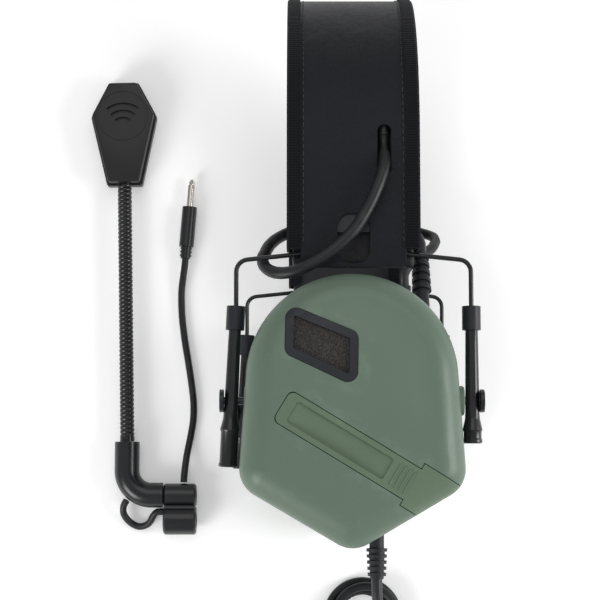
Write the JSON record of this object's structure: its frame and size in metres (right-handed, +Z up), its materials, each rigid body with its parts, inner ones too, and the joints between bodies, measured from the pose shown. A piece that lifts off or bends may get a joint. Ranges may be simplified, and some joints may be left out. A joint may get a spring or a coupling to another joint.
{
  "type": "ear-defender radio headset",
  "caption": "Electronic ear-defender headset lying on one cup: padded leather band, wire yokes with sliders, sage cups, battery door, coiled radio lead and a detached boom microphone.",
  "frame": {"origin": "middle of the footprint of everything but the cords, on the face it rests on", "axes": "+X from the detached microphone across to the rear edge of the band, +Y from the cups towards the crown of the band, +Z up from the right cup, which it rests on, to the left cup"},
  "size_m": [0.1782, 0.3844, 0.1845],
  "materials": {
    "sage_shell": "satin moulded, fine texture",
    "black_plastic": "satin moulded",
    "gloss_black": "semi-gloss moulded",
    "cover_leather": "grained",
    "liner_leather": "grained, padded",
    "cushion_leather": "smooth, padded",
    "webbing": "ribbed grosgrain",
    "window_foam": "open-cell foam",
    "coated_wire": "black coated spring steel",
    "black_metal": "black coated",
    "spring_steel": "brushed",
    "speaker_metal": "satin",
    "cable_jacket": "smooth satin",
    "soft_rubber": "matte",
    "board": "solder mask",
    "cell_wrap": "printed wrap without lettering",
    "plated_pin": "plated"
  },
  "bodies": {
    "headband": {"headband_cover": "cover_leather", "headband_liner": "liner_leather", "headband_bindings": "webbing", "front_spring_wire": "coated_wire", "rear_spring_wire": "coated_wire", "stiffener_strip": "spring_steel", "wire_clamps": "spring_steel", "link_cable_in_band": "cable_jacket", "left_link_cable_high": "cable_jacket", "right_link_cable_high": "cable_jacket"},
    "left_yoke": {"left_front_slider": "gloss_black", "left_rear_slider": "gloss_black", "left_slider_collars": "black_plastic", "left_pivot_pins": "black_metal", "radio_lead_run": "cable_jacket", "radio_lead_hank": "cable_jacket", "hank_tie": "soft_rubber", "radio_plug_body": "gloss_black", "radio_plug_pin": "plated_pin"},
    "left_cup": {"left_shell": "sage_shell", "left_baffle": "black_plastic", "left_cushion": "cushion_leather", "left_speaker": "speaker_metal", "left_circuit_board": "board", "left_window_frame": "black_plastic", "left_window_foam": "window_foam", "left_ambient_mic": "speaker_metal", "left_link_relief": "soft_rubber", "left_mic_jack": "black_plastic", "left_battery_box": "black_plastic", "battery_cells": "cell_wrap", "left_link_cable_low": "cable_jacket", "radio_lead_relief": "soft_rubber", "radio_lead_drop": "cable_jacket"},
    "battery_door": {"battery_door": "sage_shell"},
    "right_yoke": {"right_front_slider": "gloss_black", "right_rear_slider": "gloss_black", "right_slider_collars": "black_plastic", "right_pivot_pins": "black_metal"},
    "right_cup": {"right_shell": "sage_shell", "right_baffle": "black_plastic", "right_cushion": "cushion_leather", "right_speaker": "speaker_metal", "right_window_frame": "black_plastic", "right_window_foam": "window_foam", "right_ambient_mic": "speaker_metal", "right_link_relief": "soft_rubber", "right_link_cable_low": "cable_jacket"},
    "volume_up_button": {"volume_up_button": "soft_rubber"},
    "volume_down_button": {"volume_down_button": "soft_rubber"},
    "boom_clip": {"boom_clip": "gloss_black", "mic_lead": "cable_jacket", "mic_plug_body": "gloss_black", "mic_plug_pin": "plated_pin"},
    "boom": {"mic_front": "black_plastic", "mic_back": "black_plastic", "mic_capsule": "speaker_metal", "gooseneck": "gloss_black", "boom_elbow": "gloss_black", "boom_cable_loop": "cable_jacket"}
  },
  "joints": [
    {"name": "left_slide", "type": "slide", "parent": "headband", "child": "left_yoke", "axis": [0, -1, 0], "range_m": [0, 0.02], "deforming": ["left_link_cable_high"]},
    {"name": "left_tilt", "type": "hinge", "parent": "left_yoke", "child": "left_cup", "pos_m": [0.03709, -0.0618, 0.162], "axis": [1, 0, 0], "range_deg": [-12, 0.4], "deforming": ["left_link_cable_low", "radio_lead_drop"]},
    {"name": "battery_door_slide", "type": "slide", "parent": "left_cup", "child": "battery_door", "axis": [0.8554, -0.518, 0], "range_m": [0, 0.012]},
    {"name": "right_slide", "type": "slide", "parent": "headband", "child": "right_yoke", "axis": [0, -1, 0], "range_m": [0, 0.02], "deforming": ["right_link_cable_high"]},
    {"name": "right_tilt", "type": "hinge", "parent": "right_yoke", "child": "right_cup", "pos_m": [0.03709, -0.0618, 0.022], "axis": [1, 0, 0], "range_deg": [-0.4, 12], "deforming": ["right_link_cable_low"]},
    {"name": "volume_up_press", "type": "slide", "parent": "right_cup", "child": "volume_up_button", "axis": [-0.5047, 0.8633, 0], "range_m": [0, 0.001], "stiffness_N_per_m": 300},
    {"name": "volume_down_press", "type": "slide", "parent": "right_cup", "child": "volume_down_button", "axis": [-0.5047, 0.8633, 0], "range_m": [0, 0.001], "stiffness_N_per_m": 300},
    {"name": "mic_lift", "type": "slide", "parent": "headband", "child": "boom_clip", "axis": [0, 0, 1], "range_m": [0, 0.05]},
    {"name": "boom_swing", "type": "hinge", "parent": "boom_clip", "child": "boom", "pos_m": [-0.05121, -0.101, 0.0071], "axis": [1, 0, 0], "range_deg": [0, 100], "deforming": ["boom_cable_loop"]}
  ]
}
